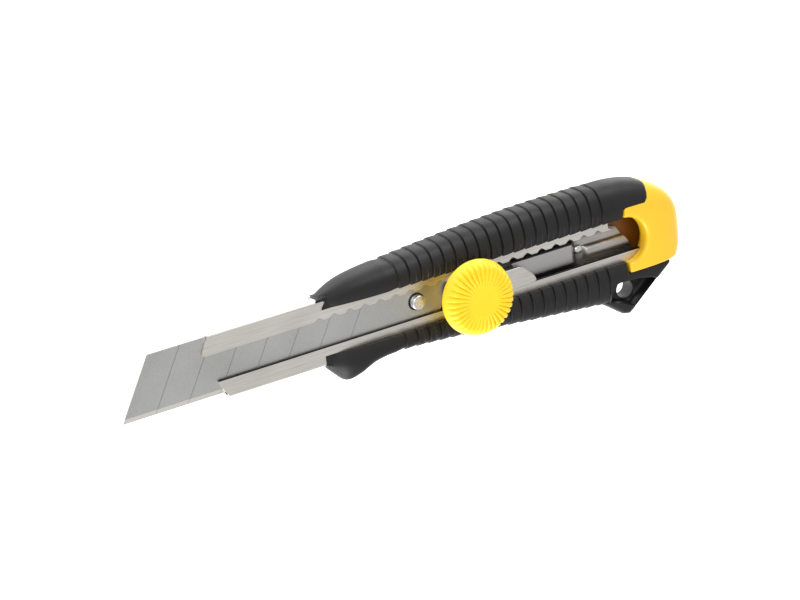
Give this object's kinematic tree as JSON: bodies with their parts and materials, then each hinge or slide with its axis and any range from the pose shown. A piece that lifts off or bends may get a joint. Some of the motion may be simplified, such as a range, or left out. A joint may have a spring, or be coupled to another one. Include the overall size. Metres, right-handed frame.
{
  "type": "utility knife",
  "caption": "Snap-off utility knife: scored blade in a notched steel channel, screw-down lock wheel, rubber grips and a loop-ended plastic body with a lanyard hole.",
  "frame": {"origin": "foot of the lock wheel's axis, at its rest place, on the flat back face", "axes": "+X from the blade tip to the butt, +Y from the cutting edge to the spine, +Z out of the wheel side; the knife lies on its flat back"},
  "size_m": [0.1877, 0.0425, 0.0263],
  "materials": {
    "blade_steel": "satin ground carbon steel",
    "channel_steel": "brushed stainless sheet",
    "carriage_steel": "dark oiled pressed steel",
    "bright_steel": "bright plated steel",
    "screw_steel": "blackened steel",
    "yellow_shell": "moulded yellow plastic, soft gloss",
    "wheel_yellow": "moulded yellow plastic, satin",
    "grip_rubber": "black soft-touch rubber",
    "tail_plastic": "black moulded plastic",
    "insert_brass": "turned brass"
  },
  "bodies": {
    "handle": {"blade_channel": "channel_steel", "channel_rivets": "bright_steel", "core_body": "yellow_shell", "back_cover": "yellow_shell", "cover_screws": "screw_steel", "upper_grip": "grip_rubber", "lower_grip": "grip_rubber", "tail_snapper": "tail_plastic", "snapper_screw": "screw_steel"},
    "slider": {"carriage": "carriage_steel", "blade": "blade_steel", "blade_pin": "bright_steel", "lock_stud": "bright_steel", "detent_spring": "channel_steel", "detent_rivets": "bright_steel", "lift_spring": "channel_steel", "stud_clip": "screw_steel"},
    "clamp": {"clamp_plate": "channel_steel", "thrust_washer": "bright_steel"},
    "wheel": {"lock_wheel": "wheel_yellow", "wheel_insert": "insert_brass", "wheel_cap": "wheel_yellow"}
  },
  "joints": [
    {"name": "blade_slide", "type": "slide", "parent": "handle", "child": "slider", "axis": [1, 0, 0], "range_m": [-0.04, 0.0315], "deforming": ["detent_spring"]},
    {"name": "clamp_lift", "type": "slide", "parent": "slider", "child": "clamp", "axis": [0, 0, 1], "range_m": [0, 0.0008], "deforming": ["lift_spring"]},
    {"name": "wheel_turn", "type": "hinge", "parent": "clamp", "child": "wheel", "pos_m": [0, 0, 0.02], "axis": [0, 0, 1], "range_deg": [0, 360]}
  ],
  "couplings": [
    {"joint": "clamp_lift", "follows": "wheel_turn", "m_per_rad": 0.0001273}
  ]
}
